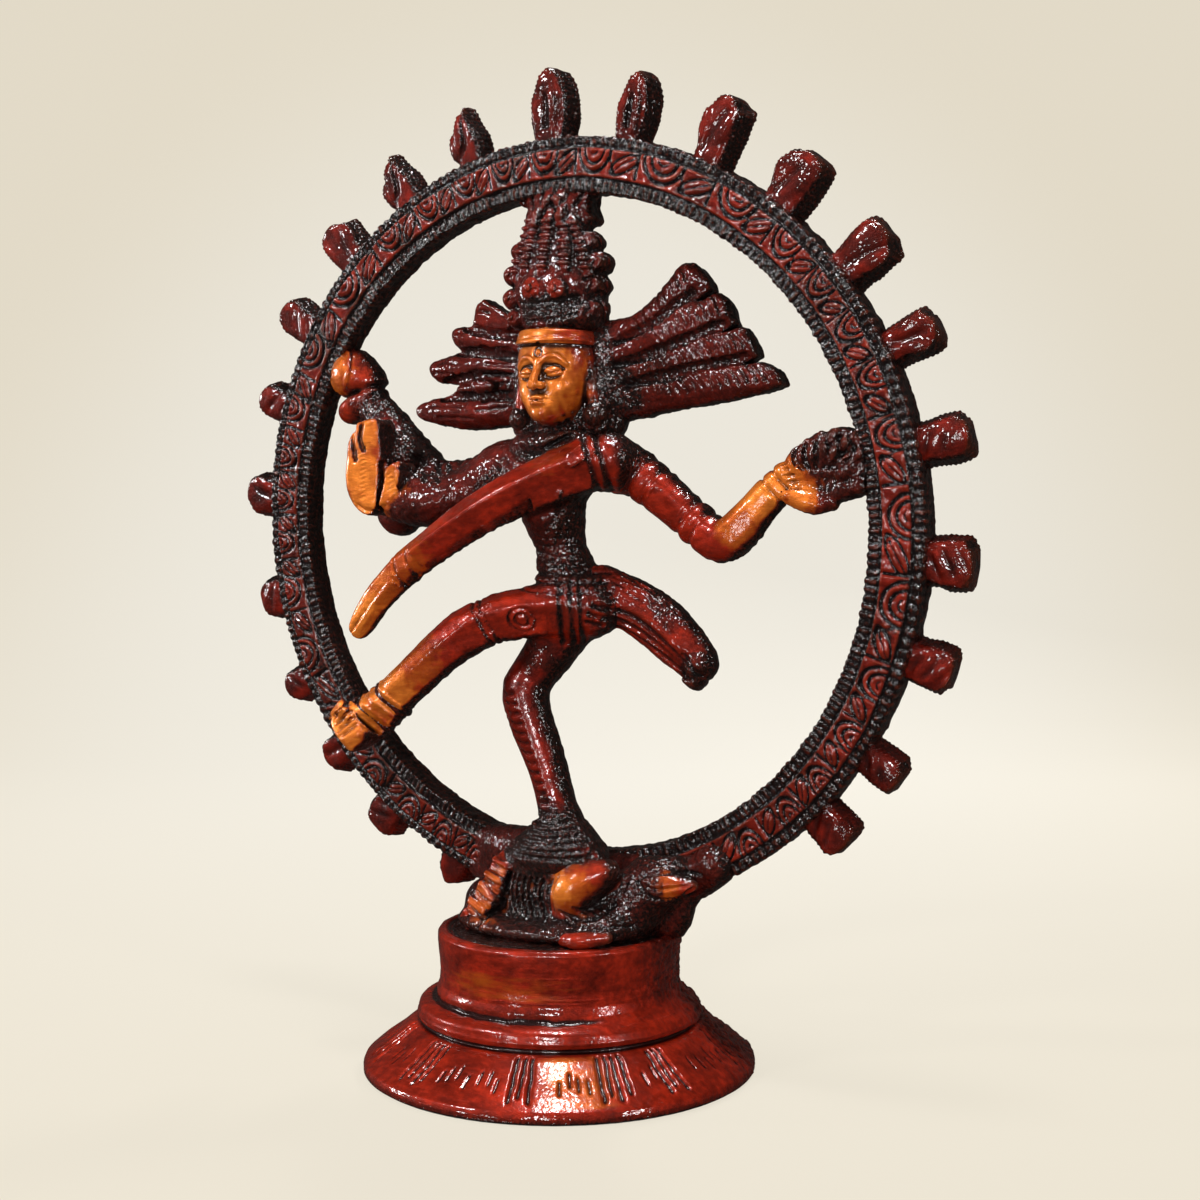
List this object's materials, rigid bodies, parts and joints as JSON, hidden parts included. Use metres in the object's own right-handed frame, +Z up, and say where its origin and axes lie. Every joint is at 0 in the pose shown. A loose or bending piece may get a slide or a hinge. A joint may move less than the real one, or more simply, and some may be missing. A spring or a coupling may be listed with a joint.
{
  "type": "dancing figure statue",
  "caption": "Small lacquered brass statue of a four-armed dancing figure on a dwarf, inside a flaming ring, on a round stepped pedestal.",
  "frame": {"origin": "centre of the pedestal's foot, on the table", "axes": "+Z up, the figure faces -Y, and +X is the figure's own left-hand side"},
  "size_m": [0.173, 0.08, 0.203],
  "materials": {
    "dark_lacquer": "brass under black-brown antique lacquer, gloss",
    "red_lacquer": "brass under red-brown antique lacquer, gloss",
    "gold_lacquer": "brass rubbed to gold under clear lacquer, gloss"
  },
  "bodies": {
    "root": {"pedestal": "red_lacquer", "ring_saddle": "dark_lacquer", "dwarf_body": "dark_lacquer", "dwarf_head": "gold_lacquer", "dwarf_thigh": "gold_lacquer", "dwarf_hand": "red_lacquer", "dwarf_foot": "gold_lacquer", "ring_band": "dark_lacquer", "ring_flames": "dark_lacquer", "top_flame_tip": "dark_lacquer", "torso": "dark_lacquer", "shoulder_collar": "dark_lacquer", "head": "gold_lacquer", "headband": "gold_lacquer", "crown": "dark_lacquer", "crown_bosses": "red_lacquer", "crest_web": "dark_lacquer", "hair_mass": "dark_lacquer", "left_hair_fan": "dark_lacquer", "right_hair_fan": "dark_lacquer", "ear_discs": "dark_lacquer", "rear_left_arm": "red_lacquer", "hand_flame": "dark_lacquer", "front_left_arm": "red_lacquer", "trailing_hand": "gold_lacquer", "front_right_arm": "dark_lacquer", "open_hand": "gold_lacquer", "rear_right_arm": "dark_lacquer", "hand_drum": "gold_lacquer", "hip_girdle": "dark_lacquer", "standing_leg": "dark_lacquer", "raised_leg": "red_lacquer", "raised_foot": "gold_lacquer", "ankle_rings": "dark_lacquer", "waist_sash": "red_lacquer", "sash_end": "dark_lacquer"}
  },
  "joints": []
}
